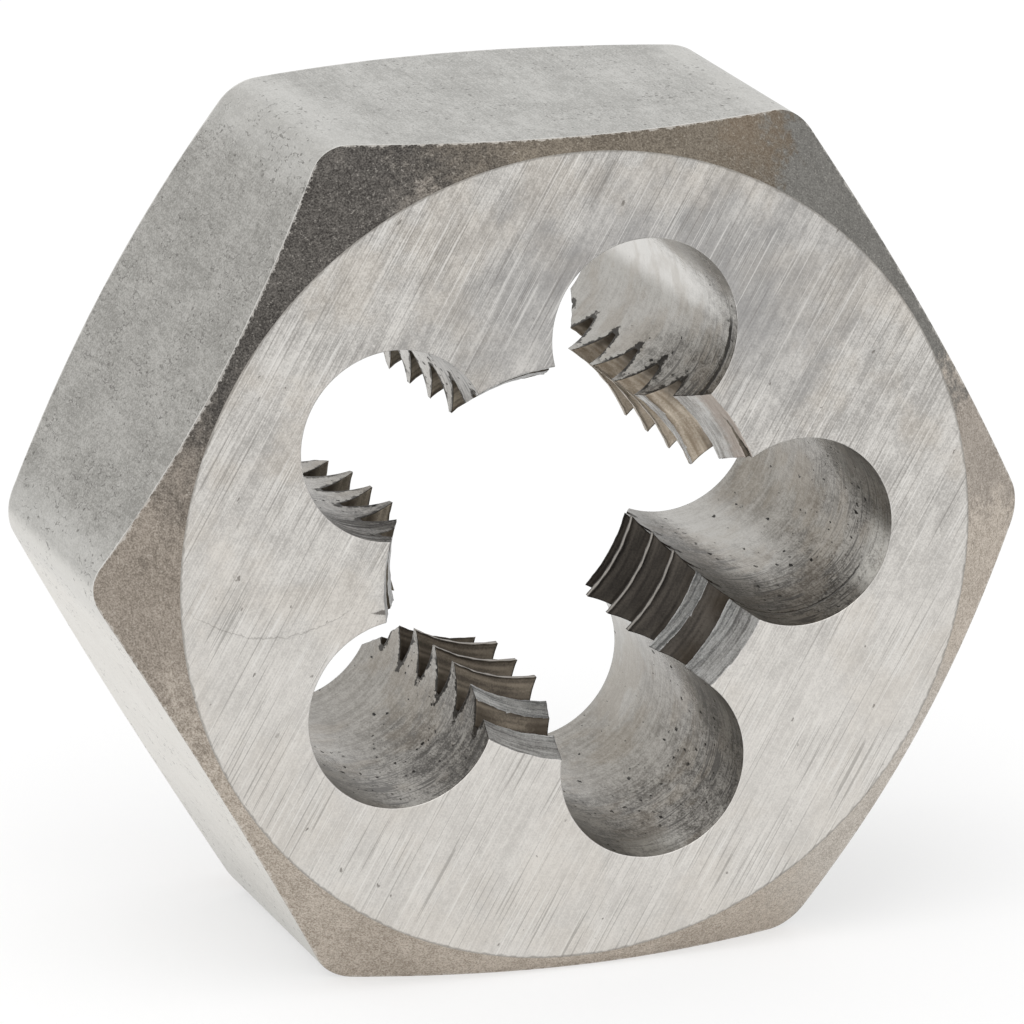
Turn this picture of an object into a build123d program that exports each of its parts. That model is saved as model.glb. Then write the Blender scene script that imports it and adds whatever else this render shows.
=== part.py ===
from build123d import *
import os
from math import ceil, radians, sqrt, tan

# Hexagonal rethreading die: one hardened steel piece with a left-hand thread cut
# into it, and five chip holes that break the thread into five cutting lands.
# The die is drawn lying down, bore along Z and front face up, and is then stood
# on one of its flats. All sizes are in millimetres and degrees.

# Body
across_flats = 27.0       # 1-1/16 in hexagon, turned by a wrench or a die stock
thickness = 12.7          # 1/2 in from face to face
corner_radius = 1.4       # rounded corners of the hexagon bar
chamfer_width = 0.415     # turned chamfer on each face, measured at the middle of a flat
chamfer_angle = 36.1      # of that chamfer, from the plane of the face

# Thread, 1/2-13 left-hand
thread_diameter = 12.7    # at the roots between the teeth, where the bolt's crests run
thread_pitch = 25.4 / 13
flank_angle = 60.0        # between the two flanks of a tooth
crest_width = 0.25        # flat on the tip of each tooth
root_width = 0.27         # flat between two teeth
first_crest_depth = 0.95  # middle of the first crest below the front face, at +X

# Lead cones, by which the thread starts at its front and its back
front_lead_length = 3.2
front_lead_clearance = 0.11  # the cone's mouth lies this far outside the thread's roots
back_lead_length = 3.4
back_lead_clearance = 0.41

# Chip holes
chip_hole_count = 5
chip_hole_diameter = 6.14
chip_hole_reach = 0.785   # how far each hole reaches in past the tips of the teeth
chip_hole_angle = 73.25   # first hole, counter-clockwise from +X, seen from the front
chip_hole_lean = 1.35     # drilled askew, so that the back end lies counter-clockwise

# Cutters run this far past the faces that they cut
overrun = 1.0

# Places that follow from the sizes
front = thickness / 2
back = -thickness / 2
flank_slope = tan(radians(flank_angle / 2))
tooth_height = (thread_pitch - crest_width - root_width) / 2 / flank_slope
root_radius = thread_diameter / 2
crest_radius = root_radius - tooth_height
chip_hole_radius = chip_hole_diameter / 2
chip_hole_place = crest_radius - chip_hole_reach + chip_hole_radius


def body_blank():
    """Hexagonal bar with rounded corners, both of its ends turned to a cone."""
    outline = RegularPolygon(across_flats / 2, side_count=6, major_radius=False)
    outline = fillet(outline.vertices(), corner_radius)
    bar = extrude(outline, amount=thickness / 2, both=True)

    face_radius = across_flats / 2 - chamfer_width
    rim_radius = across_flats / sqrt(3) + overrun
    cone_drop = (rim_radius - face_radius) * tan(radians(chamfer_angle))
    half_section = Polyline(
        (0, back),
        (face_radius, back),
        (rim_radius, back + cone_drop),
        (rim_radius, front - cone_drop),
        (face_radius, front),
        (0, front),
        close=True,
    )
    turned = revolve(Plane.XZ * make_face(half_section), Axis.Z)
    return bar & turned


def chip_holes():
    """Drills on a circle round the thread, which break through into the bore."""
    drill = Cylinder(chip_hole_radius, 4 * thickness)
    leaning_drill = Pos(chip_hole_place, 0, front) * Rot(chip_hole_lean, 0, 0) * drill
    step = 360 / chip_hole_count
    return [Rot(0, 0, chip_hole_angle + step * k) * leaning_drill for k in range(chip_hole_count)]


def thread_groove():
    """Left-hand helical groove between the teeth, a trapezoid swept past both faces.

    The trapezoid's wide side lies a little inside the crest circle, so that the
    bore, cut afterwards, leaves the flat on each tooth.
    """
    mouth_width = thread_pitch - crest_width / 2
    mouth_radius = crest_radius - crest_width / 4 / flank_slope
    trapezoid = Polyline(
        (mouth_radius, -mouth_width / 2),
        (root_radius, -root_width / 2),
        (root_radius, root_width / 2),
        (mouth_radius, mouth_width / 2),
        close=True,
    )

    turns = ceil(thickness / thread_pitch) + 2
    helix = Helix(thread_pitch, turns * thread_pitch, crest_radius, lefthand=True)
    groove = sweep(Plane.XZ * make_face(trapezoid), path=helix, is_frenet=True)
    top = front - first_crest_depth + 1.5 * thread_pitch
    return Pos(0, 0, top - turns * thread_pitch) * groove


def bore_with_leads():
    """Bore across the tips of the teeth, opening as a lead cone at each end."""
    front_rise = root_radius + front_lead_clearance - crest_radius
    back_rise = root_radius + back_lead_clearance - crest_radius
    half_section = Polyline(
        (0, back - overrun),
        (crest_radius + back_rise * (1 + overrun / back_lead_length), back - overrun),
        (crest_radius, back + back_lead_length),
        (crest_radius, front - front_lead_length),
        (crest_radius + front_rise * (1 + overrun / front_lead_length), front + overrun),
        (0, front + overrun),
        close=True,
    )
    return revolve(Plane.XZ * make_face(half_section), Axis.Z)


def hex_die():
    """The die, stood on a flat with its front face towards -Y."""
    lying = body_blank() - chip_holes() - thread_groove() - bore_with_leads()
    return Pos(0, 0, across_flats / 2) * Rot(90, 0, 0) * lying


os.makedirs("parts", exist_ok=True)
export_step(hex_die(), "parts/hex_die.step")
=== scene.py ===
from math import cos, degrees, pi, radians, sin, sqrt, tan

import bmesh
import bpy
import numpy as np
from mathutils import Matrix, Vector
from mathutils.geometry import delaunay_2d_cdt


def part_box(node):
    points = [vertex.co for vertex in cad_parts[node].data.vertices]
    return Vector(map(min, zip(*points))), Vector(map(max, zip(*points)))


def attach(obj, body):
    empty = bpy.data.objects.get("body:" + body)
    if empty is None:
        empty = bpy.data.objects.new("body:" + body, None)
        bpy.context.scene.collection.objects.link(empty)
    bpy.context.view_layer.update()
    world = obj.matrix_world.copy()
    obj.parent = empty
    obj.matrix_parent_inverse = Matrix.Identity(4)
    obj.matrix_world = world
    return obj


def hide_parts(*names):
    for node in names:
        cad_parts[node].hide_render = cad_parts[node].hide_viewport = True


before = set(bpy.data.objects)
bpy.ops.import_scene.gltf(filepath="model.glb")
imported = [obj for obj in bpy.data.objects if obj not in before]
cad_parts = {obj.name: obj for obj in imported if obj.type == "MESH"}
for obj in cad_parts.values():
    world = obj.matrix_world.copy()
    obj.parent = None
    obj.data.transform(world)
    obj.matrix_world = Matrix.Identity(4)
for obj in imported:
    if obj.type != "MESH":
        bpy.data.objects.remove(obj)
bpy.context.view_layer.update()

# Sizes of the die in millimetres, the same as in the solid
node_low, node_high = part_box("hex_die")
mm = 0.001
across_flats = (node_high.z - node_low.z) / mm
thickness = (node_high.y - node_low.y) / mm
corner_radius = 1.4
chamfer_width = 0.415
chamfer_angle = radians(36.1)
thread_diameter = 12.7
thread_pitch = 25.4 / 13
flank_angle = radians(60.0)
crest_width = 0.25
root_width = 0.27
first_crest_depth = 0.95
lead_length = 3.2
lead_clearance = 0.11
back_lead_length = 3.4
back_lead_clearance = 0.41
chip_hole_radius = 6.14 / 2
chip_hole_reach = 0.785
chip_hole_angle = radians(73.25)
chip_hole_lean = radians(1.35)

# Small forms that the solid leaves out, in millimetres
lead_relief = 0.2
back_lead_relief = 0.1
unevenness = 0.012

# The chip holes, and the lands that follow them, counter-clockwise as seen from the front
hole_names = ["upper right", "upper left", "lower left", "bottom", "right"]
land_names = ["top", "left", "lower left", "lower right", "upper right"]

# Sizes that follow from these
flank_slope = tan(flank_angle / 2)
root_radius = thread_diameter / 2
crest_radius = root_radius - (thread_pitch - crest_width - root_width) / 2 / flank_slope
mouth_radius = root_radius + lead_clearance
lead_slope = (mouth_radius - crest_radius) / lead_length
back_mouth_radius = root_radius + back_lead_clearance
back_lead_slope = (back_mouth_radius - crest_radius) / back_lead_length
chip_hole_place = crest_radius - chip_hole_reach + chip_hole_radius
face_radius = across_flats / 2 - chamfer_width
chip_hole_count = len(hole_names)
hole_step = 2 * pi / chip_hole_count

# How finely the skin is divided, in millimetres, and the width of the soft line along an edge
edge_strip = 0.05
outline_step = 0.2
corner_steps = 10
cone_rows = 14
side_rows = 36
tooth_rows = 290
tooth_columns = 18
rim_steps = 90
wall_step = 0.3
face_step = 0.5
depth_samples = 2541
edge_search_steps = 12

# Waves of the cut surfaces, in radians: per millimetre round the bore and along it, and at the start
waves = [(5.3, 3.1, 0.0), (-7.9, 9.7, 1.3), (17.9, 13.7, 4.1)]

# Finishes, in the order of the skin's material slots
finishes = ["ground_face", "turned_chamfer", "hexagon_flat", "chip_hole_wall", "lead_cone", "tooth"]


# The thread: its radius at an angle, at a depth below the front, and a share of the way across a land

def from_crest(angle, depth):
    """Distance along the bore to the middle of the nearest crest."""
    along = depth - first_crest_depth - thread_pitch * angle / (2 * pi)
    return np.abs((along + thread_pitch / 2) % thread_pitch - thread_pitch / 2)


def groove_radius(angle, depth):
    """Radius of the left-hand thread before its ends are opened by the lead cones."""
    slope = crest_radius + (from_crest(angle, depth) - crest_width / 2) / flank_slope
    return np.clip(slope, crest_radius, root_radius)


def lead_radius(depth, share):
    """Radius of whichever lead cone is nearer. Each cone is relieved behind its cutting edge."""
    true_share, true_back_share = 0.5, 0.65
    front = mouth_radius + lead_relief * (share - true_share) - lead_slope * depth
    back = back_mouth_radius + back_lead_relief * (true_back_share - share)
    back = back - back_lead_slope * (thickness - depth)
    return np.maximum(front, back)


def uneven(angle, depth):
    """The slight waviness of a cut surface."""
    around = angle * root_radius
    height = sum(np.sin(turning * around + rising * depth + start) for turning, rising, start in waves)
    return unevenness * height / 2


def land_radius(angle, depth, share):
    return np.maximum(groove_radius(angle, depth), lead_radius(depth, share)) + uneven(angle, depth)


def tooth_part(angle, depth, share):
    """A number that changes at every crease of the thread's surface."""
    groove = groove_radius(angle, depth)
    part = np.where(groove >= root_radius, 2, np.where(groove <= crest_radius, 1, 0))
    return np.where(lead_radius(depth, share) >= groove, -1, part)


# Chip holes

def hole_centre(hole, depth):
    """Centre of a chip hole at a depth, and the hole's outward and sideways directions."""
    angle = chip_hole_angle + hole_step * hole
    outward = np.array([cos(angle), sin(angle)])
    sideways = np.array([-sin(angle), cos(angle)])
    shift = np.multiply.outer(np.asarray(depth) * tan(chip_hole_lean), sideways)
    return chip_hole_place * outward + shift, outward, sideways


def hole_edge_angle(hole, side, depth):
    """Angle round the bore at which the thread's surface meets a chip hole's wall."""
    centre, outward, sideways = hole_centre(hole, depth)
    radius = np.hypot(centre[:, 0], centre[:, 1])
    turn = chip_hole_angle + hole_step * hole + np.arctan2(centre @ sideways, centre @ outward)
    first_guess = 0.4
    angle = turn + side * first_guess
    share = 0.0 if side > 0 else 1.0
    for _ in range(edge_search_steps):
        surface = land_radius(angle, depth, share)
        reach = (radius ** 2 + surface ** 2 - chip_hole_radius ** 2) / (2 * radius * surface)
        angle = turn + side * np.arccos(np.clip(reach, -1, 1))
    return angle


# The skin, as points, faces and the finish of each face

class Skin:
    def __init__(self):
        self.points = []
        self.faces = []
        self.finish = []

    def add(self, x, z, depth):
        """Adds points and returns their numbers."""
        first = len(self.points)
        block = np.column_stack([np.broadcast_to(v, np.shape(x)) for v in (x, z, depth)])
        self.points.extend(map(tuple, block))
        return list(range(first, len(self.points)))

    def face(self, corners, finish):
        """Adds a face, less the corners that fall together."""
        ring = [c for i, c in enumerate(corners) if c != corners[i - 1]]
        if len(set(ring)) >= 3:
            self.faces.append(ring)
            self.finish.append(finishes.index(finish))

    def grid(self, rows, finish, closed=False):
        """Faces between rows of point numbers."""
        count = len(rows[0])
        for row, nxt in zip(rows, rows[1:]):
            for i in range(count if closed else count - 1):
                j = (i + 1) % count
                self.face([row[i], row[j], nxt[j], nxt[i]], finish)

    def fill(self, loops, flat, extra, to_space, finish):
        """Triangles inside the first loop and outside the others.

        loops hold point numbers, flat gives each point's place on the unrolled surface,
        extra are further places inside, and to_space turns such places into x, z and depth.
        """
        numbers = [n for loop in loops for n in loop]
        numbers += self.add(*to_space(extra))
        places = [Vector(flat[n]) for loop in loops for n in loop] + [Vector(p) for p in extra]
        edges = []
        first = 0
        for loop in loops:
            count = len(loop)
            edges += [(first + i, first + (i + 1) % count) for i in range(count)]
            first += count
        out = delaunay_2d_cdt(places, edges, [], 0, 1e-7)
        where = np.array([tuple(v) for v in out[0]])
        middles = np.array([where[list(f)].mean(axis=0) for f in out[2]])
        outlines = [np.array([flat[n] for n in loop], np.float32).astype(float) for loop in loops]
        for corners, keep in zip(out[2], inside(middles, outlines)):
            if keep:
                self.face([numbers[out[3][c][0]] for c in corners], finish)


def inside(places, outlines):
    """Which places lie inside the first closed outline and outside the others."""
    x, y = places[:, 0, None], places[:, 1, None]
    wanted = np.full(len(places), True)
    for number, outline in enumerate(outlines):
        ax, ay = outline[:, 0], outline[:, 1]
        bx, by = np.roll(ax, -1), np.roll(ay, -1)
        crosses = (ay > y) != (by > y)
        rise = np.where(by == ay, 1, by - ay)
        times = np.sum(crosses & (x < (bx - ax) * (y - ay) / rise + ax), axis=1)
        wanted &= times % 2 == (1 if number == 0 else 0)
    return wanted


def clearance(places, outline):
    """Distance from each place to a closed outline."""
    a = outline[None, :, :]
    b = np.roll(outline, -1, axis=0)[None, :, :]
    along = b - a
    length = np.maximum((along ** 2).sum(-1), 1e-12)
    t = np.clip(((places[:, None, :] - a) * along).sum(-1) / length, 0, 1)
    near = a + t[..., None] * along
    return np.sqrt(((places[:, None, :] - near) ** 2).sum(-1)).min(axis=1)


def points_within(outlines, step):
    """A strip of points along every edge, and a staggered pattern of points between them."""
    low, high = outlines[0].min(axis=0), outlines[0].max(axis=0)
    rows = int((high[1] - low[1]) / (step * sqrt(0.75))) + 1
    columns = int((high[0] - low[0]) / step) + 1
    pattern = np.array([(low[0] + step * (i + 0.5 * (j % 2)), low[1] + step * sqrt(0.75) * j)
                        for j in range(rows + 1) for i in range(columns + 1)])
    strip = []
    for number, outline in enumerate(outlines):
        tangent = np.roll(outline, -1, axis=0) - np.roll(outline, 1, axis=0)
        tangent /= np.maximum(np.linalg.norm(tangent, axis=1, keepdims=True), 1e-9)
        inward = np.column_stack([-tangent[:, 1], tangent[:, 0]]) * (1 if number == 0 else -1)
        strip.append(outline + inward * edge_strip)
    strip = np.vstack(strip)
    kept = []
    for places, gap in ((strip, 0.8 * edge_strip), (pattern, 0.5 * step)):
        good = inside(places, outlines)
        for outline in outlines:
            good &= clearance(places, outline) > gap
        kept.append(places[good])
    return np.vstack(kept)


def spaced(count, length):
    """Fractions from 0 to 1, with a narrow step at each end as wide as the edge strip."""
    length = np.asarray(length, float)
    first = np.minimum(edge_strip / length, 0.5 / count)
    middle = np.linspace(0, 1, count - 1)
    inner = first + np.multiply.outer(middle, 1 - 2 * first)
    return np.concatenate([np.zeros_like(first)[None], inner, np.ones_like(first)[None]])


def hexagon_outline():
    """Points round the hexagon with its rounded corners, counter-clockwise."""
    centre_radius = (across_flats / 2 - corner_radius) / cos(radians(30))
    flat_length = across_flats / sqrt(3) - 2 * corner_radius * tan(radians(30))
    flat_steps = round(flat_length / outline_step)
    places = []
    for side in range(6):
        corner = radians(60) * side
        centre = centre_radius * np.array([cos(corner), sin(corner)])
        turns = corner + radians(30) * np.linspace(-1, 1, corner_steps + 1)
        arc = centre + corner_radius * np.column_stack([np.cos(turns), np.sin(turns)])
        ahead = np.array([-sin(turns[-1]), cos(turns[-1])])
        run = np.linspace(0, flat_length, flat_steps + 1)[1:-1]
        places += [arc, arc[-1] + run[:, None] * ahead]
    return np.vstack(places)


def outer_skin(skin):
    """Chamfers and hexagon sides. Returns the face circles at the front and the back."""
    outline = hexagon_outline()
    reach = np.hypot(outline[:, 0], outline[:, 1])
    direction = outline / reach[:, None]
    drop = (reach - face_radius) * tan(chamfer_angle)

    def cone(depth_of):
        share = spaced(cone_rows, (reach - face_radius) / cos(chamfer_angle))
        rows = []
        for s in share:
            radius = face_radius + s * (reach - face_radius)
            rows.append(skin.add(direction[:, 0] * radius, direction[:, 1] * radius, depth_of(s * drop)))
        skin.grid(rows, "turned_chamfer", closed=True)
        return rows

    front = cone(lambda drop: drop)
    back = cone(lambda drop: thickness - drop)
    share = spaced(side_rows, thickness - 2 * drop)
    rows = [front[-1]]
    for s in share[1:-1]:
        rows.append(skin.add(outline[:, 0], outline[:, 1], drop + s * (thickness - 2 * drop)))
    rows.append(back[-1])
    skin.grid(rows, "hexagon_flat", closed=True)
    return front[0], back[0]


def land_skin(skin, land, depths):
    """The toothed surface between two chip holes. Returns its four edges."""
    start = hole_edge_angle(land, 1, depths)
    end = hole_edge_angle(land + 1, -1, depths)
    middle = (start.mean() + end.mean()) / 2
    width = crest_radius * (end.mean() - start.mean())
    overrun = 0.3
    levels = np.linspace(-overrun, thickness + overrun, tooth_rows)
    columns = []
    for share in spaced(tooth_columns, width):
        angle = start + share * (end - start)
        level = depths - thread_pitch * (angle - middle) / (2 * pi)
        depth = np.interp(levels, level, depths)
        part = tooth_part(angle, depths, share)
        for crease in np.nonzero(np.diff(part))[0]:
            place = (depths[crease] + depths[crease + 1]) / 2
            depth[np.argmin(np.abs(depth - place))] = place
        depth[0], depth[-1] = 0, thickness
        depth = np.maximum.accumulate(depth)
        turn = np.interp(depth, depths, angle)
        radius = land_radius(turn, depth, share)
        column = skin.add(radius * np.cos(turn), radius * np.sin(turn), depth)
        first, last = column[0], column[-1]
        column = [first if d <= 0 else last if d >= thickness else n for n, d in zip(column, depth)]
        columns.append((column, turn, depth, share))
    for near, far in zip(columns, columns[1:]):
        turns, middles = ((a[:-1] + a[1:] + b[:-1] + b[1:]) / 4 for a, b in zip(near[1:3], far[1:3]))
        coned = tooth_part(turns, middles, (near[3] + far[3]) / 2) < 0
        for i, on_cone in enumerate(coned):
            corners = [near[0][i], far[0][i], far[0][i + 1], near[0][i + 1]]
            skin.face(corners, "lead_cone" if on_cone else "tooth")
    ordered = [list(dict.fromkeys(c[0])) for c in columns]
    return ordered[0], ordered[-1], [c[0] for c in ordered], [c[-1] for c in ordered]


def wall_skin(skin, hole, clockwise_edge, counter_edge):
    """A chip hole's wall between the teeth on both sides of it. Returns its two rims."""
    space = np.array(skin.points)
    flat = {}
    for n in clockwise_edge + counter_edge:
        x, z, depth = space[n]
        centre, outward, sideways = hole_centre(hole, depth)
        away = np.array([x, z]) - centre
        flat[n] = (chip_hole_radius * np.arctan2(away @ sideways, away @ outward), depth)

    def to_space(places):
        places = np.asarray(places)
        centre, outward, sideways = hole_centre(hole, places[:, 1])
        turn = places[:, 0] / chip_hole_radius
        place = centre + chip_hole_radius * (np.multiply.outer(np.cos(turn), outward)
                                             + np.multiply.outer(np.sin(turn), sideways))
        return place[:, 0], place[:, 1], places[:, 1]

    rims = []
    for end in (0, -1):
        depth = (0, thickness)[end]
        a, b = flat[clockwise_edge[end]][0], flat[counter_edge[end]][0]
        run = np.linspace(a, b, rim_steps + 1)[1:-1]
        places = [(r, depth) for r in run]
        new = skin.add(*to_space(places))
        flat.update(zip(new, places))
        rims.append([clockwise_edge[end]] + new + [counter_edge[end]])
    loop = rims[0] + counter_edge[1:] + rims[1][::-1][1:] + clockwise_edge[::-1][1:-1]
    extra = points_within([np.array([flat[n] for n in loop])], wall_step)
    skin.fill([loop], flat, extra, to_space, "chip_hole_wall")
    return rims


def face_skin(skin, circle, inner, depth):
    """A ground face between the chamfer's circle and the chip holes."""
    flat = {n: skin.points[n][:2] for n in circle + inner}

    def to_space(places):
        places = np.asarray(places)
        return places[:, 0], places[:, 1], depth

    outlines = [np.array([flat[n] for n in loop]) for loop in (circle, inner)]
    extra = points_within(outlines, face_step)
    skin.fill([circle, inner], flat, extra, to_space, "ground_face")


def die_skin():
    """The whole closed skin of the die."""
    skin = Skin()
    front_circle, back_circle = outer_skin(skin)
    depths = np.linspace(0, thickness, depth_samples)
    lands = [land_skin(skin, land, depths) for land in range(chip_hole_count)]
    front_inner, back_inner = [], []
    for hole in range(chip_hole_count):
        front_rim, back_rim = wall_skin(skin, hole, lands[hole - 1][1], lands[hole][0])
        front_inner += front_rim[:-1] + lands[hole][2][:-1]
        back_inner += back_rim[:-1] + lands[hole][3][:-1]
    face_skin(skin, front_circle, front_inner, 0.0)
    face_skin(skin, back_circle, back_inner, thickness)
    return skin


# Materials

class Nodes:
    """A material's or a group's node tree, with short ways to add nodes to it."""

    def __init__(self, tree):
        self.tree = tree

    def add(self, kind, inputs=None, **settings):
        node = self.tree.nodes.new("ShaderNode" + kind)
        for name, value in settings.items():
            setattr(node, name, value)
        self.feed(node, inputs or {})
        return node

    def feed(self, node, inputs):
        """Gives inputs of a node their values, which can be outputs of other nodes."""
        for name, value in inputs.items():
            if isinstance(value, bpy.types.NodeSocket):
                self.tree.links.new(value, node.inputs[name])
            else:
                node.inputs[name].default_value = value

    def maths(self, operation, *values):
        return self.add("Math", dict(enumerate(values)), operation=operation).outputs[0]

    def chain(self, operation, values):
        result = values[0]
        for value in values[1:]:
            result = self.maths(operation, result, value)
        return result

    def total(self, *values):
        return self.chain("ADD", values)

    def product(self, *values):
        return self.chain("MULTIPLY", values)

    def most(self, *values):
        return self.chain("MAXIMUM", values)

    def minus(self, first, second):
        return self.maths("SUBTRACT", first, second)

    def weighted(self, *terms):
        """The sum of values, each times its weight."""
        return self.total(*(self.product(value, weight) for value, weight in terms))

    def distance(self, value, middle):
        return self.maths("ABSOLUTE", self.total(value, -middle))

    def length(self, x, y):
        return self.maths("SQRT", self.total(self.product(x, x), self.product(y, y)))

    def ramp(self, value, low, high, to_low=0.0, to_high=1.0):
        node = self.add("MapRange", {"Value": value, "From Min": low, "From Max": high,
                                     "To Min": to_low, "To Max": to_high}, interpolation_type="SMOOTHSTEP")
        return node.outputs[0]

    def choice(self, mask, outside, within):
        """One value where a mask is 0 and another where it is 1."""
        return self.ramp(mask, 0.0, 1.0, outside, within)

    def blend(self, share, first, second):
        return self.add("Mix", {0: share, 6: first, 7: second}, data_type="RGBA").outputs[2]

    def noise(self, vector, scale=1.0, detail=2.0, roughness=0.5):
        return self.add("TexNoise", {"Vector": vector, "Scale": scale, "Detail": detail,
                                     "Roughness": roughness}).outputs["Fac"]

    def vector(self, x=0.0, y=0.0, z=0.0):
        return self.add("CombineXYZ", {"X": x, "Y": y, "Z": z}).outputs[0]

    def parts(self, vector):
        return self.add("SeparateXYZ", {0: vector}).outputs

    def vector_maths(self, operation, first, second):
        return self.add("VectorMath", {0: first, 1: second}, operation=operation).outputs

    def stretched(self, place, factors):
        return self.vector_maths("MULTIPLY", place, factors)[0]

    def towards(self, place, direction):
        return self.vector_maths("DOT_PRODUCT", place, direction)["Value"]

    def group(self, tree, **inputs):
        inputs = {name.replace("_", " ").capitalize(): value for name, value in inputs.items()}
        return self.add("Group", inputs, node_tree=tree).outputs

    def finish_group(self, results):
        """Gives a group its outputs, and returns its tree."""
        for label in results:
            self.tree.interface.new_socket(label, in_out="OUTPUT", socket_type="NodeSocketFloat")
        self.feed(self.tree.nodes.new("NodeGroupOutput"), results)
        return self.tree


def new_group(name, inputs):
    """A new group's nodes and its inputs, which are vectors where they are given no value."""
    tree = bpy.data.node_groups.new(name, "ShaderNodeTree")
    for label, value in inputs.items():
        kind = "Vector" if value is None else "Float"
        socket = tree.interface.new_socket(label, in_out="INPUT", socket_type="NodeSocket" + kind)
        if value is not None:
            socket.default_value = value
    return Nodes(tree), tree.nodes.new("NodeGroupInput").outputs


def make_bore_group():
    """Where a place lies round the bore, along the thread, and round the nearest chip hole."""
    nodes, given = new_group("round_the_bore", {"Place": None})
    parts = nodes.parts(given["Place"])
    angle = nodes.maths("ARCTAN2", parts["Z"], parts["X"])
    radius = nodes.length(parts["X"], parts["Z"])
    depth = nodes.total(parts["Y"], thickness / 2)
    to_corner = nodes.total(nodes.maths("FLOORED_MODULO", angle, pi / 3), -pi / 6)
    flat = nodes.product(radius, nodes.maths("COSINE", to_corner), -1.0)
    climb = nodes.product(angle, -thread_pitch / (2 * pi))
    along = nodes.total(depth, -first_crest_depth, climb, thread_pitch / 2)
    along = nodes.maths("FLOORED_MODULO", along, thread_pitch)

    folded = nodes.maths("FLOORED_MODULO", nodes.total(angle, hole_step / 2 - chip_hole_angle), hole_step)
    folded = nodes.total(folded, -hole_step / 2)
    outward = nodes.total(nodes.product(radius, nodes.maths("COSINE", folded)), -chip_hole_place)
    sideways = nodes.total(nodes.product(radius, nodes.maths("SINE", folded)),
                           nodes.product(depth, -tan(chip_hole_lean)))
    return nodes.finish_group({"Angle": angle, "Radius": radius, "Depth": depth,
                               "From flat": nodes.total(flat, across_flats / 2),
                               "From crest": nodes.distance(along, thread_pitch / 2),
                               "From hole": nodes.total(nodes.length(outward, sideways), -chip_hole_radius),
                               "Round hole": nodes.maths("ARCTAN2", sideways, outward)})


def make_grain_group():
    """Grain of the steel's skin, from as fine as it can be seen to broad clouds."""
    nodes, given = new_group("grain", {"Place": None})
    place = given["Place"]
    return nodes.finish_group({"Fine": nodes.noise(place, scale=18.0, detail=1.0, roughness=0.6),
                               "Coarse": nodes.noise(place, scale=4.5, detail=3.0, roughness=0.65),
                               "Cloud": nodes.noise(place, scale=0.65, detail=4.0, roughness=0.62)})


def make_pit_group():
    """Small scattered pits, ragged in outline, on a surface laid out flat."""
    ragged = 0.16
    nodes, given = new_group("pits", {"Place": None, "Per mm": 2.0, "Size": 0.2, "Share": 0.3})
    shake = nodes.add("TexNoise", {"Vector": given["Place"], "Scale": 9.0, "Detail": 2.0}).outputs["Color"]
    moved = nodes.vector_maths("ADD", given["Place"], nodes.stretched(shake, (ragged, ragged, ragged)))[0]
    cells = nodes.add("TexVoronoi", {"Vector": moved, "Scale": given["Per mm"]}, voronoi_dimensions="2D")
    chance = nodes.add("SeparateColor", {0: cells.outputs["Color"]}).outputs
    there = nodes.maths("LESS_THAN", chance[0], given["Share"])
    reach = nodes.product(given["Size"], nodes.total(nodes.product(chance[1], chance[1], 1.2), 0.3))
    depth = nodes.ramp(nodes.maths("DIVIDE", cells.outputs["Distance"], reach), 1.0, 0.6)
    return nodes.finish_group({"Mask": nodes.product(there, depth)})


def make_line_group():
    """Fine lines that all run one way, wider ones among them, and a few lone scratches."""
    nodes, given = new_group("fine_lines", {"Along": 0.0, "Across": 0.0, "Layer": 0.0, "Per mm": 10.0,
                                            "Length": 4.0})
    along = nodes.maths("DIVIDE", given["Along"], given["Length"])
    across = nodes.product(given["Across"], given["Per mm"])

    def lines(across_scale, along_scale, shift, detail, roughness):
        where = nodes.vector(nodes.product(across, across_scale), nodes.product(along, along_scale),
                             nodes.total(given["Layer"], shift))
        return nodes.noise(where, detail=detail, roughness=roughness)

    fine = lines(across_scale=1.0, along_scale=1.0, shift=0.0, detail=1.0, roughness=0.6)
    wide = lines(across_scale=0.2, along_scale=0.6, shift=7.0, detail=2.0, roughness=0.6)
    scratch = lines(across_scale=1.2, along_scale=0.8, shift=19.0, detail=0.0, roughness=0.5)
    return nodes.finish_group({"Fine": fine, "Wide": wide, "Scratch": scratch})


def make_zone_group():
    """1 within an angle of a direction round the bore, in degrees from +X, fading out at its ends."""
    nodes, given = new_group("round_zone", {"Place": None, "Middle": 0.0, "Half width": 36.0, "Fade": 2.0,
                                            "Shake": 0.0})
    parts = nodes.parts(given["Place"])
    angle = nodes.maths("DEGREES", nodes.maths("ARCTAN2", parts["Z"], parts["X"]))
    off = nodes.maths("WRAP", nodes.minus(angle, given["Middle"]), 180.0, -180.0)
    off = nodes.total(nodes.maths("ABSOLUTE", off), given["Shake"])
    outer = nodes.maths("ADD", given["Half width"], given["Fade"])
    inner = nodes.minus(given["Half width"], given["Fade"])
    return nodes.finish_group({"Mask": nodes.ramp(off, outer, inner)})


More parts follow.
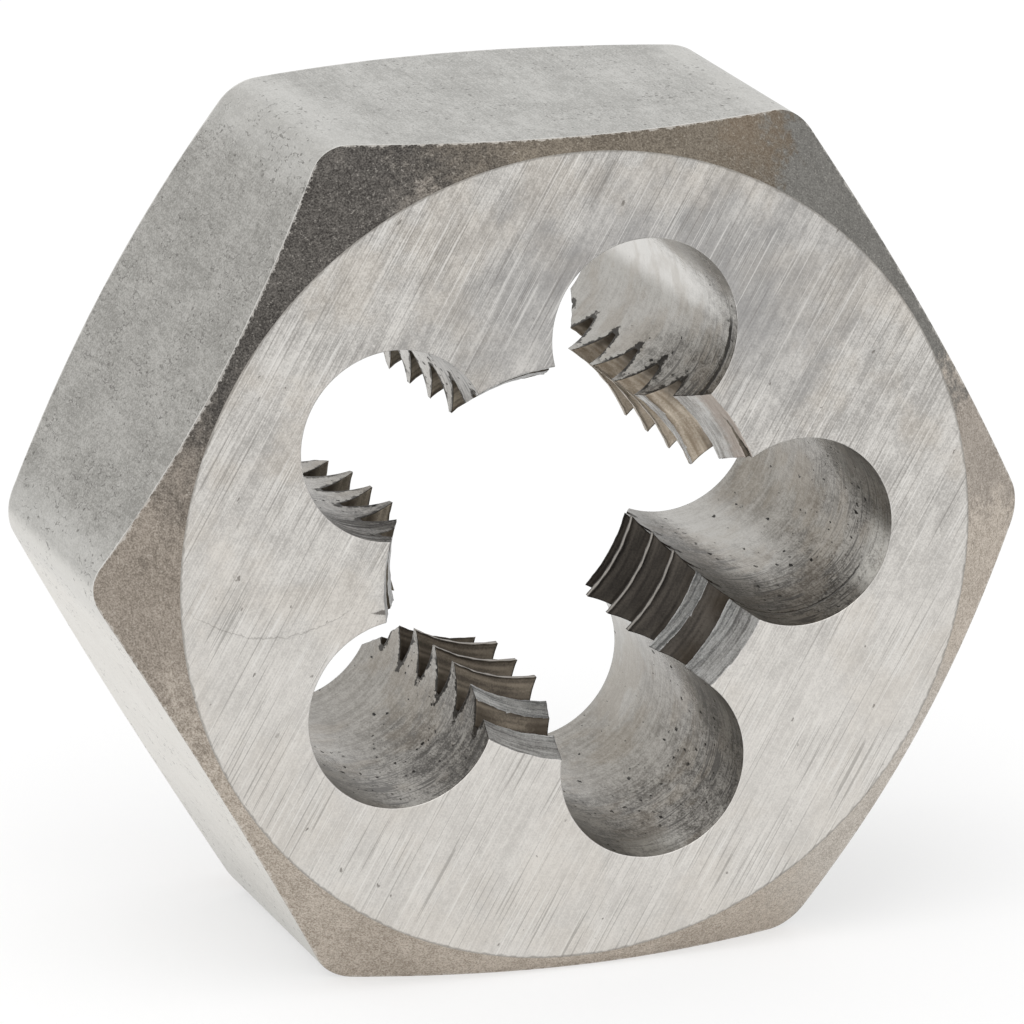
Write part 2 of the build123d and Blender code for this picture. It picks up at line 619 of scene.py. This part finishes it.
class Surface(Nodes):
    """A material's nodes, with where on the die a place is, and the grain of the steel there.

    The outputs of the bore and grain groups are at hand by name, such as from_hole and coarse.
    Depths and lengths are in millimetres. Masks are 1 where they apply and 0 elsewhere.
    """

    def __init__(self, tree, groups, grain_stretch):
        super().__init__(tree)
        self.groups = groups
        self.shade = None
        scaled = self.stretched(self.add("TexCoord").outputs["Object"], (1 / mm, 1 / mm, 1 / mm))
        self.place = self.vector_maths("SUBTRACT", scaled, (0, 0, across_flats / 2))[0]
        self.x, _, self.z = self.parts(self.place)
        grain_place = self.stretched(self.place, (1.0, grain_stretch, 1.0))
        for name, place in (("bore", self.place), ("grain", grain_place)):
            for socket in self.group(groups[name], place=place):
                setattr(self, socket.name.lower().replace(" ", "_"), socket)

    def lay(self, layer, mask, share=None):
        """Lays a colour over the shade so far where a mask is 1, or a share of it."""
        if share is not None:
            mask = self.product(mask, share)
        self.shade = self.blend(mask, self.shade, layer)

    def shaken(self, value, amount):
        """A value made ragged by the coarse grain."""
        return self.total(value, self.product(self.coarse, amount))

    def lines(self, **inputs):
        return self.group(self.groups["lines"], **inputs)

    def pits(self, **inputs):
        return self.group(self.groups["pits"], **inputs)["Mask"]

    def zone(self, **inputs):
        return self.group(self.groups["zone"], place=self.place, **inputs)["Mask"]

    def in_hole(self, name):
        return self.zone(middle=degrees(chip_hole_angle + hole_step * hole_names.index(name)))

    def on_land(self, name):
        return self.zone(middle=degrees(chip_hole_angle + hole_step * (land_names.index(name) + 0.5)))

    def on_flat(self, direction):
        """A mask of the flat that faces a direction, in degrees from +X, fading where its corners start."""
        turn = radians(direction)
        reach = self.towards(self.place, (cos(turn), 0, sin(turn)))
        return self.ramp(reach, across_flats / 2 - 0.4, across_flats / 2 - 0.05)

    def on_front(self):
        return self.ramp(self.depth, 0.35, 0.05)

    def from_patch(self, stretch, middle):
        """Distance from the middle of a patch, where x and z are both stretched first."""
        return self.length(self.total(self.product(self.x, stretch[0]), -middle[0]),
                           self.total(self.product(self.z, stretch[1]), -middle[1]))

    def turned(self, start, end):
        """0 to 1 from one direction round a chip hole to another, in degrees from straight outward."""
        return self.ramp(self.round_hole, radians(start), radians(end))

    def near_turn(self, middle, half_width):
        """1 at a direction round a chip hole, in degrees, fading to 0 at a half width from it."""
        off = self.distance(self.round_hole, radians(middle))
        return self.ramp(off, radians(half_width), radians(0.4 * half_width))


def colour(red, green, blue):
    """A colour as it is seen on a screen, 0 to 255."""
    def linear(v):
        v /= 255
        return v / 12.92 if v <= 0.04045 else ((v + 0.055) / 1.055) ** 2.4
    return linear(red), linear(green), linear(blue), 1.0


def paint_ground_face(nodes):
    """Straight grinding lines on pale steel, with faint stains, thin scratches and a few pits."""
    run = radians(60)
    along = nodes.towards(nodes.place, (cos(run), 0, sin(run)))
    across = nodes.towards(nodes.place, (-sin(run), 0, cos(run)))
    layer = nodes.towards(nodes.place, (0, 0.3, 0))
    lines = nodes.lines(along=along, across=across, layer=layer, per_mm=17.0, length=3.5)
    blotch = nodes.vector(nodes.product(across, 0.9), nodes.product(along, 0.5), layer)
    blotch = nodes.noise(blotch, scale=1.0, detail=5.0, roughness=0.66)
    tone = nodes.weighted((lines["Fine"], 0.2), (lines["Wide"], 0.12), (blotch, 0.28), (nodes.fine, 0.2),
                          (nodes.coarse, 0.2))
    nodes.shade = nodes.blend(nodes.ramp(tone, 0.37, 0.63), colour(166, 163, 159), colour(219, 216, 211))
    stain = nodes.ramp(nodes.noise(nodes.place, scale=0.35, detail=4.0, roughness=0.6), 0.46, 0.62)
    nodes.lay(colour(198, 182, 160), stain, 0.16)

    # Painted shade in a dull patch at the upper right, partly a real dull spot, and painted light far from
    # it.
    from_dull_shaded_patch = nodes.from_patch(stretch=(0.7, 1.2), middle=(1.8, 9.6))
    from_dull_shaded_patch = nodes.total(from_dull_shaded_patch, nodes.product(blotch, 6.0), -3.0)
    nodes.lay(colour(148, 147, 147), nodes.ramp(from_dull_shaded_patch, 7.0, 1.0, 0.0, 0.65))
    nodes.lay(colour(228, 224, 218), nodes.ramp(from_dull_shaded_patch, 6.0, 18.0, 0.0, 0.5))
    bright = nodes.ramp(lines["Scratch"], 0.69, 0.73)
    dark = nodes.ramp(lines["Scratch"], 0.31, 0.27)
    nodes.lay(colour(238, 236, 232), bright, 0.4)
    nodes.lay(colour(120, 116, 111), dark, 0.4)
    worn = nodes.total(nodes.shaken(nodes.radius, 0.2), -face_radius)
    nodes.lay(colour(122, 117, 110), nodes.ramp(worn, 0.02, 0.08), 0.6)

    pit_place = nodes.vector(nodes.product(along, 0.6), across)
    pits = nodes.pits(place=pit_place, per_mm=2.2, size=0.09, share=0.3)
    pits = nodes.product(pits, nodes.ramp(nodes.cloud, 0.5, 0.58))
    nodes.lay(colour(84, 78, 70), pits, 0.6)
    nodes.lay(colour(112, 107, 101), hairline(nodes), 0.35)
    nodes.lay(colour(74, 69, 63), nick(nodes), 0.75)
    # A light line round the chip holes, partly a burnished rounded edge and partly a painted highlight.
    rim = nodes.ramp(nodes.shaken(nodes.from_hole, 0.16), 0.12, 0.06)
    nodes.lay(colour(238, 236, 232), rim, 0.5)
    height = nodes.weighted((lines["Fine"], 0.6), (lines["Wide"], 0.3), (bright, -0.4), (dark, -0.6),
                            (pits, -1.5))
    return nodes.ramp(lines["Fine"], 0.3, 0.7, 0.5, 0.4), 1.0, height


def hairline(nodes):
    """A faint hairline that sags across the left of the front face."""
    lowest_x, lowest_z = -9.9, -1.6
    off = nodes.total(nodes.x, -lowest_x)
    sag = nodes.product(off, off, 0.13)
    rise = nodes.minus(nodes.total(nodes.z, -lowest_z), sag)
    near = nodes.ramp(nodes.distance(nodes.shaken(rise, 0.3), 0.15), 0.03, 0.01)
    stretch = nodes.product(nodes.ramp(nodes.x, -13.0, -12.2), nodes.ramp(nodes.x, -7.2, -7.8))
    return nodes.product(near, stretch, nodes.on_front())


def nick(nodes):
    """A short dark nick in the front face, at the left of the bore, widest at its right end."""
    middle_x, middle_z, half_length = -6.66, -1.1, 0.3
    along = nodes.total(nodes.x, -middle_x)
    off = nodes.shaken(nodes.distance(nodes.z, middle_z), 0.16)
    half_width = nodes.ramp(along, -half_length, half_length, 0.06, 0.17)
    near = nodes.ramp(nodes.minus(off, half_width), 0.03, -0.01)
    stretch = nodes.product(nodes.ramp(along, -half_length, -0.22), nodes.ramp(along, 0.26, 0.2))
    return nodes.product(near, stretch, nodes.on_front())


# Darkest and lightest tones of each kind of scale on the chamfers
scale_tones = {
    "light tan": (colour(153, 142, 129), colour(207, 197, 185)),
    "pale": (colour(168, 160, 150), colour(216, 209, 200)),
    "grey brown": (colour(125, 116, 105), colour(173, 163, 152)),
    "tan": (colour(140, 131, 121), colour(184, 175, 165)),
    "grey": (colour(104, 102, 98), colour(134, 132, 127)),
    "brown": (colour(93, 85, 75), colour(139, 130, 117)),
    "charcoal": (colour(51, 48, 45), colour(107, 103, 98)),
}


def paint_turned_chamfer(nodes):
    """Rough scale left by hardening: charcoal round the upper left corner, brown or grey elsewhere."""
    tone = nodes.weighted((nodes.fine, 0.5), (nodes.coarse, 0.3), (nodes.cloud, 0.2))
    full = nodes.ramp(tone, 0.3, 0.7)
    shake = nodes.total(nodes.weighted((nodes.cloud, 26.0), (nodes.coarse, 14.0)), -20.0)

    def lay_scale(kind, middle, half_width, fade):
        """Lays a kind of scale on the chamfer, round a direction in degrees from +X."""
        zone = nodes.zone(middle=middle, half_width=half_width, fade=fade, shake=shake)
        nodes.lay(nodes.blend(full, *scale_tones[kind]), zone)

    nodes.shade = nodes.blend(full, *scale_tones["light tan"])
    lay_scale("pale", middle=-40.0, half_width=18.0, fade=8.0)
    lay_scale("grey brown", middle=174.0, half_width=24.0, fade=8.0)
    lay_scale("tan", middle=13.0, half_width=13.0, fade=4.0)
    lay_scale("grey", middle=46.0, half_width=26.0, fade=4.0)
    lay_scale("brown", middle=87.0, half_width=26.0, fade=3.0)
    lay_scale("charcoal", middle=133.0, half_width=29.0, fade=14.0)
    rust = nodes.from_patch(stretch=(0.7, 1.0), middle=(3.9, 13.3))
    rust = nodes.total(rust, nodes.product(nodes.cloud, 4.0), nodes.product(nodes.coarse, 3.0))
    nodes.lay(colour(146, 126, 104), nodes.ramp(rust, 5.2, 3.4, 0.0, 0.28))
    flecks = nodes.ramp(nodes.noise(nodes.place, scale=9.0, detail=2.0, roughness=0.7), 0.63, 0.7)
    nodes.lay(colour(196, 190, 182), flecks, 0.25)
    rubbed = nodes.ramp(nodes.shaken(nodes.from_flat, -0.3), -0.1, -0.14)
    nodes.lay(colour(214, 210, 204), rubbed, 0.5)
    height = nodes.weighted((nodes.fine, 0.7), (nodes.coarse, 1.0))
    return nodes.ramp(tone, 0.35, 0.65, 0.62, 0.48), 0.7, height


def paint_hexagon_flat(nodes):
    """Matt, mottled flats with fine grain, and clusters of small pits and hairlike cracks in their skin."""
    around = nodes.product(nodes.angle, across_flats / 2)
    lines = nodes.lines(along=nodes.depth, across=around, per_mm=9.0, length=1.8)
    tone = nodes.weighted((nodes.cloud, 0.26), (nodes.coarse, 0.26), (nodes.fine, 0.34),
                          (lines["Fine"], 0.14))
    nodes.shade = nodes.blend(nodes.ramp(tone, 0.38, 0.62), colour(166, 165, 161), colour(198, 197, 193))
    # Painted shade: a darker, flatter tone on the upper left flat, which also gets more pits and cracks.
    upper_left_flat = nodes.on_flat(150)
    painted_shade_tone = nodes.blend(nodes.ramp(tone, 0.36, 0.64), colour(146, 144, 139), colour(184, 182, 177))
    nodes.lay(painted_shade_tone, upper_left_flat)
    # Painted light on the flat at the lower left, weaker towards the bottom.
    fading = nodes.ramp(nodes.z, -13.0, -7.5, 0.45, 0.78)
    nodes.lay(colour(242, 239, 233), nodes.product(nodes.on_flat(210), fading))
    corner = nodes.ramp(nodes.total(nodes.radius, nodes.product(nodes.cloud, 0.5)), 14.85, 15.45)
    nodes.lay(colour(210, 209, 205), corner, 0.5)

    crowd = nodes.noise(nodes.place, scale=0.5, detail=3.0, roughness=0.6)
    crowd = nodes.ramp(nodes.total(crowd, nodes.product(upper_left_flat, 0.06)), 0.44, 0.6)
    crackle = nodes.stretched(nodes.place, (1.0, 0.4, 1.0))
    crackle = nodes.noise(crackle, scale=1.7, detail=3.0, roughness=0.65)
    crackle = nodes.ramp(nodes.distance(crackle, 0.5), 0.02, 0.006)
    crackle = nodes.product(crackle, crowd, nodes.ramp(nodes.coarse, 0.46, 0.54))
    crackle = nodes.product(crackle, nodes.choice(upper_left_flat, 0.45, 0.65))
    nodes.lay(colour(98, 95, 90), crackle)
    pits = nodes.pits(place=nodes.vector(around, nodes.product(nodes.depth, 0.6)), per_mm=4.2, size=0.16,
                      share=nodes.choice(crowd, 0.08, 0.5))
    nodes.lay(colour(84, 81, 76), pits, 0.55)

    drop = nodes.product(nodes.total(nodes.radius, -face_radius), tan(chamfer_angle))
    from_back = nodes.minus(thickness, nodes.depth)
    from_face = nodes.maths("MINIMUM", nodes.depth, from_back)
    edge = nodes.minus(from_face, drop)
    wobble = nodes.total(nodes.weighted((nodes.coarse, 0.06), (nodes.cloud, 0.16)), -0.11)
    # A thin light line along the flats' edges, partly scale worn through to steel and partly a painted
    # highlight.
    bare_edge_highlight = nodes.ramp(nodes.minus(edge, wobble), 0.09, 0.04)
    nodes.lay(colour(232, 230, 226), bare_edge_highlight, 0.6)
    chipped = nodes.ramp(nodes.total(edge, wobble), 0.01, -0.02)
    nodes.lay(colour(112, 107, 100), chipped, 0.5)
    height = nodes.weighted((nodes.coarse, 0.8), (nodes.fine, 0.5), (crackle, -0.7), (pits, -1.0))
    return nodes.ramp(tone, 0.38, 0.62, 0.56, 0.46), 1.0, height


def paint_chip_hole_wall(nodes):
    """Satin drilled walls: smooth with painted light deep in; scored, specked, stained brown and in painted
    shade near the front.
    """
    around = nodes.product(nodes.round_hole, chip_hole_radius)
    lines = nodes.lines(along=around, across=nodes.depth, per_mm=4.5, length=1.8)
    tone = nodes.weighted((lines["Fine"], 0.22), (lines["Wide"], 0.14), (nodes.cloud, 0.2),
                          (nodes.coarse, 0.26), (nodes.fine, 0.18))
    hole = {name: nodes.in_hole(name) for name in ("upper right", "upper left", "bottom", "right")}
    depth = stain_and_shade_depth(nodes, hole)
    # Darker towards the front, partly brown stain and partly painted shade; lighter deep in with painted
    # light.
    front = nodes.ramp(depth, 12.5, 6.0)
    front_shade = nodes.blend(nodes.ramp(tone, 0.4, 0.6), colour(64, 59, 52), colour(160, 156, 149))
    nodes.shade = nodes.blend(front, deep_shade(nodes, tone, hole), front_shade)
    stain = nodes.ramp(nodes.noise(nodes.place, scale=0.5, detail=4.0, roughness=0.6), 0.48, 0.62)
    nodes.lay(colour(132, 118, 98), stain, 0.25)
    # Dark soiling in the upper left hole, and painted shade down a side of the right one.
    grime_and_shade = wall_grime_and_shade(nodes, lines, hole)
    nodes.lay(colour(44, 40, 35), grime_and_shade)
    # Painted light towards the clockwise end of the upper left hole.
    far_end = nodes.product(hole["upper left"], nodes.ramp(nodes.round_hole, -0.5, -1.0))
    nodes.lay(colour(208, 205, 199), far_end, 0.5)

    scored = nodes.ramp(nodes.cloud, 0.38, 0.52)
    score = nodes.product(nodes.ramp(lines["Fine"], 0.55, 0.62), scored, front)
    nodes.lay(colour(50, 45, 39), score, 0.8)
    specks = wall_specks(nodes, around, depth, hole)
    nodes.lay(colour(26, 23, 19), specks)
    # Painted light just inside the front rim of the bottom and right holes.
    nodes.lay(colour(200, 197, 190), wall_lit_lip(nodes, tone, hole))
    burr = wall_burr(nodes, hole)
    nodes.lay(colour(44, 37, 28), burr)
    step = ring_mark(nodes, hole["upper right"], depth=0.52, half_width=0.15, end=-66.0)
    scratch = ring_mark(nodes, hole["right"], depth=1.35, half_width=0.08, end=-28.0)
    ring = nodes.most(nodes.product(step, 0.85), nodes.product(scratch, 0.6))
    nodes.lay(colour(34, 31, 27), ring)

    height = nodes.weighted((lines["Fine"], 0.6), (lines["Wide"], 0.4), (nodes.coarse, 1.0), (specks, -0.8),
                            (ring, -3.0))
    dirt_and_shade = nodes.most(specks, burr, grime_and_shade, ring)
    roughness = nodes.total(nodes.choice(front, 0.2, 0.3), nodes.product(dirt_and_shade, 0.6))
    return roughness, nodes.choice(dirt_and_shade, 1.0, 0.0), height


def stain_and_shade_depth(nodes, hole):
    """Depth below the front, shifted where the darker front part, partly stain and partly painted shade,
    reaches further in or less far.
    """
    # Painted light holds it back in the upper right hole; painted shade takes it further in the right and
    # bottom holes.
    painted_light_shift = nodes.product(hole["upper right"], nodes.turned(-108, -84), 3.8)
    painted_shade_shift = nodes.product(hole["right"], nodes.turned(-74, -104), -6.0)
    shaded = nodes.product(hole["bottom"], nodes.turned(-12, -40), -2.5)
    return nodes.total(nodes.depth, nodes.product(nodes.cloud, 6.0), nodes.product(nodes.coarse, 2.0), painted_light_shift,
                       painted_shade_shift, shaded)


def deep_shade(nodes, tone, hole):
    """Satin steel, with painted light brighter in the upper right hole and along a side of the right and
    bottom ones.
    """
    shade = nodes.blend(nodes.ramp(tone, 0.36, 0.64), colour(112, 107, 99), colour(159, 155, 148))
    band = nodes.product(hole["right"], nodes.turned(-45, -68), nodes.turned(-108, -86))
    bright = nodes.most(nodes.product(hole["upper right"], 0.5), nodes.product(band, 0.65))
    bright = nodes.product(bright, nodes.ramp(tone, 0.3, 0.55, 0.7, 1.0))
    shade = nodes.blend(bright, shade, colour(190, 188, 183))
    # A painted highlight down part of the upper right hole.
    gleam = nodes.product(hole["upper right"], nodes.near_turn(middle=-62.0, half_width=22.0))
    shade = nodes.blend(nodes.product(gleam, 0.6), shade, colour(232, 230, 226))
    # Painted light near the open back of the bottom hole.
    open_end = nodes.product(hole["bottom"], nodes.turned(5, 45), nodes.ramp(nodes.depth, 8.0, 11.5))
    return nodes.blend(nodes.product(open_end, 0.5), shade, colour(190, 188, 183))


def wall_grime_and_shade(nodes, lines, hole):
    """Streaked dark soiling near the front of the upper left hole, and painted shade down one side of the
    right one.
    """
    near_end = nodes.product(hole["upper left"], nodes.ramp(nodes.round_hole, 0.5, 1.0))
    shallow = nodes.ramp(nodes.total(nodes.depth, nodes.product(lines["Wide"], 3.0)), 6.0, 3.0)
    streaks = nodes.ramp(lines["Fine"], 0.4, 0.52, 0.25, 1.0)
    # Painted shade down a side of the right hole.
    side = nodes.product(hole["right"], nodes.turned(-88, -108), 0.4)
    return nodes.product(nodes.most(nodes.product(near_end, shallow, streaks), side), 0.5)


def wall_specks(nodes, around, depth, hole):
    """Dark specks in clusters, more of them towards the front."""
    share = nodes.product(nodes.ramp(depth, 16.0, 8.0, 0.12, 0.5),
                          nodes.choice(hole["upper right"], 1.0, 0.3),
                          nodes.choice(hole["upper left"], 1.0, 1.6))
    place = nodes.vector(around, nodes.product(nodes.depth, 0.45))
    specks = nodes.pits(place=place, per_mm=3.6, size=0.16, share=share)
    clusters = nodes.ramp(nodes.noise(nodes.place, scale=0.7, detail=2.0, roughness=0.6), 0.36, 0.5)
    strength = nodes.ramp(nodes.noise(nodes.place, scale=2.0, detail=1.0), 0.35, 0.6, 0.45, 0.9)
    return nodes.product(specks, clusters, strength)


def wall_lit_lip(nodes, tone, hole):
    """A strip of painted light just inside the front rim of the bottom and right holes."""
    facing = nodes.most(nodes.product(hole["bottom"], nodes.near_turn(middle=-13.0, half_width=24.0)),
                        nodes.product(hole["right"], nodes.near_turn(middle=-24.0, half_width=30.0)))
    lip = nodes.ramp(nodes.shaken(nodes.depth, 1.6), 3.0, 1.9)
    return nodes.product(lip, facing, nodes.ramp(tone, 0.42, 0.56, 0.35, 0.75))


def wall_burr(nodes, hole):
    """A dark torn edge where the wall cuts through the thread."""
    groove = nodes.product(nodes.total(nodes.from_crest, -crest_width / 2), 1 / flank_slope)
    groove = nodes.maths("MINIMUM", nodes.most(groove, 0.0), root_radius - crest_radius)
    off = nodes.total(nodes.minus(nodes.radius, groove), -crest_radius)
    torn = nodes.ramp(nodes.total(nodes.shaken(off, 1.2), -0.6), 0.34, 0.18)
    past_crest = nodes.ramp(nodes.radius, crest_radius + 0.1, crest_radius + 0.5)
    return nodes.product(torn, past_crest, nodes.choice(hole["upper left"], 0.7, 0.5))


def ring_mark(nodes, hole, depth, half_width, end):
    """A ragged dark line round the clockwise side of a chip hole, just inside its front rim."""
    off = nodes.shaken(nodes.total(nodes.depth, -depth), 0.24)
    near = nodes.ramp(nodes.distance(off, 0.12), half_width, 0.4 * half_width)
    return nodes.product(hole, near, nodes.turned(end, end - 14))


def paint_lead_cone(nodes):
    """Streaked grey bands turned by the lead cones, brightest on the land at the upper right with painted
    light.
    """
    around = nodes.product(nodes.angle, root_radius)
    lines = nodes.lines(along=around, across=nodes.depth, per_mm=9.0, length=2.5)
    tone = nodes.weighted((lines["Fine"], 0.4), (lines["Wide"], 0.3), (nodes.fine, 0.15),
                          (nodes.coarse, 0.15))
    full = nodes.ramp(tone, 0.38, 0.62)
    upper_right = nodes.on_land("upper right")
    nodes.shade = nodes.blend(full, colour(124, 124, 123), colour(224, 224, 222))
    # Painted light: a lighter copy of the bands' tone on the upper right land.
    nodes.lay(nodes.blend(full, colour(186, 182, 177), colour(255, 254, 251)), upper_right)
    edge = nodes.total(nodes.shaken(nodes.depth, 0.8), nodes.product(lines["Wide"], 0.8))
    edge = nodes.product(nodes.ramp(edge, 2.0, 1.3), nodes.choice(upper_right, 0.06, 0.55))
    nodes.lay(colour(208, 188, 172), edge)
    score = nodes.product(nodes.ramp(lines["Fine"], 0.58, 0.66), nodes.ramp(nodes.cloud, 0.44, 0.56))
    nodes.lay(colour(92, 88, 82), score, 0.4)
    return 0.4, nodes.choice(upper_right, 0.6, 0.35), tone


def paint_tooth(nodes):
    """Cutting-stained thread flanks, golden on one land and dark on others, partly stain and partly painted
    light and shade; bright crests.
    """
    around = nodes.product(nodes.angle, root_radius)
    lines = nodes.lines(along=around, across=nodes.radius, per_mm=6.0, length=2.5)
    tone = nodes.weighted((lines["Fine"], 0.5), (lines["Wide"], 0.25), (nodes.fine, 0.15),
                          (nodes.coarse, 0.1))
    tone = nodes.ramp(tone, 0.36, 0.64)
    # Tones of the flanks on some lands, partly stain from cutting and partly painted light and shade.
    residue_light_and_shade = {"upper right": (colour(150, 136, 118), colour(216, 205, 189)),
               "lower right": (colour(57, 53, 49), colour(94, 88, 81)),
               "lower left": (colour(80, 73, 65), colour(134, 124, 110))}
    nodes.shade = nodes.blend(tone, colour(98, 90, 78), colour(168, 158, 142))
    for name, tones in residue_light_and_shade.items():
        nodes.lay(nodes.blend(tone, *tones), nodes.on_land(name))
    # Darker towards the thread's roots, partly stain and partly painted shade.
    nodes.lay(colour(52, 48, 44), nodes.ramp(nodes.radius, 5.9, 6.35), 0.35)
    end = nodes.product(nodes.ramp(nodes.shaken(nodes.from_hole, 1.2), 1.8, 0.9),
                        nodes.ramp(nodes.shaken(nodes.radius, 0.8), 5.9, 6.5))
    nodes.lay(colour(58, 50, 40), end, 0.75)
    crest = nodes.ramp(nodes.shaken(nodes.from_crest, 0.06), 0.12, 0.07)
    nodes.lay(colour(190, 184, 176), crest, 0.75)
    return 0.5, 0.8, nodes.weighted((nodes.coarse, 0.8), (lines["Fine"], 0.4))


# How each finish is painted, its relief's height in millimetres, and its grain's scale along the bore.
# A painter leaves its colour in the surface's shade, and returns its roughness, metal and height.
paints = {
    "ground_face": (paint_ground_face, 0.004, 1.0),
    "turned_chamfer": (paint_turned_chamfer, 0.025, 1.0),
    "hexagon_flat": (paint_hexagon_flat, 0.02, 0.5),
    "chip_hole_wall": (paint_chip_hole_wall, 0.01, 0.45),
    "lead_cone": (paint_lead_cone, 0.01, 1.0),
    "tooth": (paint_tooth, 0.02, 1.0),
}


def make_finish(name, groups):
    """The material of one of the skin's finishes."""
    paint, relief, grain_stretch = paints[name]
    material = bpy.data.materials.new(name)
    material.use_nodes = True
    nodes = Surface(material.node_tree, groups, grain_stretch)
    roughness, metal, height = paint(nodes)
    bump = nodes.add("Bump", {"Height": height, "Distance": relief * mm}).outputs[0]
    nodes.feed(material.node_tree.nodes["Principled BSDF"],
               {"Base Color": nodes.shade, "Roughness": roughness, "Metallic": metal, "Normal": bump})
    return material


def add_object(name, data):
    thing = bpy.data.objects.new(name, data)
    bpy.context.scene.collection.objects.link(thing)
    return thing


def make_die():
    skin = die_skin()
    x, z, depth = np.array(skin.points).T
    places = np.column_stack([x, depth - thickness / 2, z + across_flats / 2]) * mm
    mesh = bpy.data.meshes.new("rethreading_die")
    mesh.from_pydata(places.tolist(), [], skin.faces)
    mesh.validate()
    groups = {"bore": make_bore_group(), "grain": make_grain_group(), "pits": make_pit_group(),
              "lines": make_line_group(), "zone": make_zone_group()}
    for finish in finishes:
        mesh.materials.append(make_finish(finish, groups))
    mesh.polygons.foreach_set("material_index", skin.finish)
    mesh.polygons.foreach_set("use_smooth", [True] * len(skin.finish))
    die = add_object("rethreading_die", mesh)
    shape = bmesh.new()
    shape.from_mesh(mesh)
    bmesh.ops.delete(shape, geom=[v for v in shape.verts if not v.link_faces], context="VERTS")
    bmesh.ops.recalc_face_normals(shape, faces=shape.faces)
    shape.to_mesh(mesh)
    shape.free()
    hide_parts("hex_die")
    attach(die, "root")
    return die


# Surroundings: brightness of the floor and the sky from 0 to 1, places in metres, the camera in millimetres

floor_half_width = 3.0
floor_seen = 0.92
floor_lighting = 0.45
floor_glow = 0.53
sky_seen = 1.0
sky_lighting = 0.95
lamp_place = (-0.15, -0.2, 0.6)
lamp_width = 0.5
lamp_watts = 1.0
camera_azimuth = radians(-19.390)
camera_elevation = radians(16.095)
camera_place = (-2.133, 1.464, 274.5)
camera_lens = 308.95


def grey(value):
    return value, value, value, 1.0


def lay_floor():
    mesh = bpy.data.meshes.new("floor")
    half = floor_half_width
    corners = [(-half, -half, 0), (half, -half, 0), (half, half, 0), (-half, half, 0)]
    mesh.from_pydata(corners, [], [(0, 1, 2, 3)])
    floor = add_object("floor", mesh)
    material = bpy.data.materials.new("pale_floor")
    material.use_nodes = True
    nodes = Nodes(material.node_tree)
    seen = seen_directly(nodes)
    nodes.feed(material.node_tree.nodes["Principled BSDF"], {
        "Base Color": nodes.blend(seen, grey(floor_seen), grey(floor_lighting)), "Roughness": 0.9,
        "Specular IOR Level": 0.0, "Emission Color": grey(1.0),
        "Emission Strength": nodes.product(seen, floor_glow)})
    mesh.materials.append(material)


def seen_directly(nodes):
    """1 where the camera, a reflection or glass shows the surroundings, 0 where they only light the die."""
    rays = nodes.add("LightPath").outputs
    return nodes.most(rays["Is Camera Ray"], nodes.most(rays["Is Glossy Ray"], rays["Is Transmission Ray"]))


def light_world():
    world = bpy.data.worlds.new("studio")
    bpy.context.scene.world = world
    world.use_nodes = True
    nodes = Nodes(world.node_tree)
    strength = nodes.choice(seen_directly(nodes), sky_lighting, sky_seen)
    nodes.feed(world.node_tree.nodes["Background"], {"Color": grey(1.0), "Strength": strength})


def add_lamp():
    lamp = bpy.data.lights.new("overhead_lamp", "AREA")
    lamp.size = lamp_width
    lamp.energy = lamp_watts
    holder = add_object("overhead_lamp", lamp)
    holder.location = lamp_place
    target = Vector((0, 0, across_flats / 2 * mm))
    holder.rotation_euler = (target - Vector(lamp_place)).to_track_quat("-Z", "Y").to_euler()


def set_camera():
    a, e = camera_azimuth, camera_elevation
    right = Vector((cos(a), sin(a), 0))
    up = Vector((-sin(a) * sin(e), cos(a) * sin(e), cos(e)))
    back = Vector((sin(a) * cos(e), -cos(a) * cos(e), sin(e)))
    centre = Vector((0, -thickness / 2, across_flats / 2))
    eye = centre + camera_place[0] * right + camera_place[1] * up + camera_place[2] * back
    data = bpy.data.cameras.new("camera")
    data.lens = camera_lens
    data.sensor_width = 36.0
    data.clip_start = 0.01
    camera = add_object("camera", data)
    camera.matrix_world = Matrix((right, up, back)).transposed().to_4x4()
    camera.location = eye * mm
    bpy.context.scene.camera = camera


make_die()
lay_floor()
light_world()
add_lamp()
set_camera()
bpy.context.scene.view_settings.view_transform = "Standard"
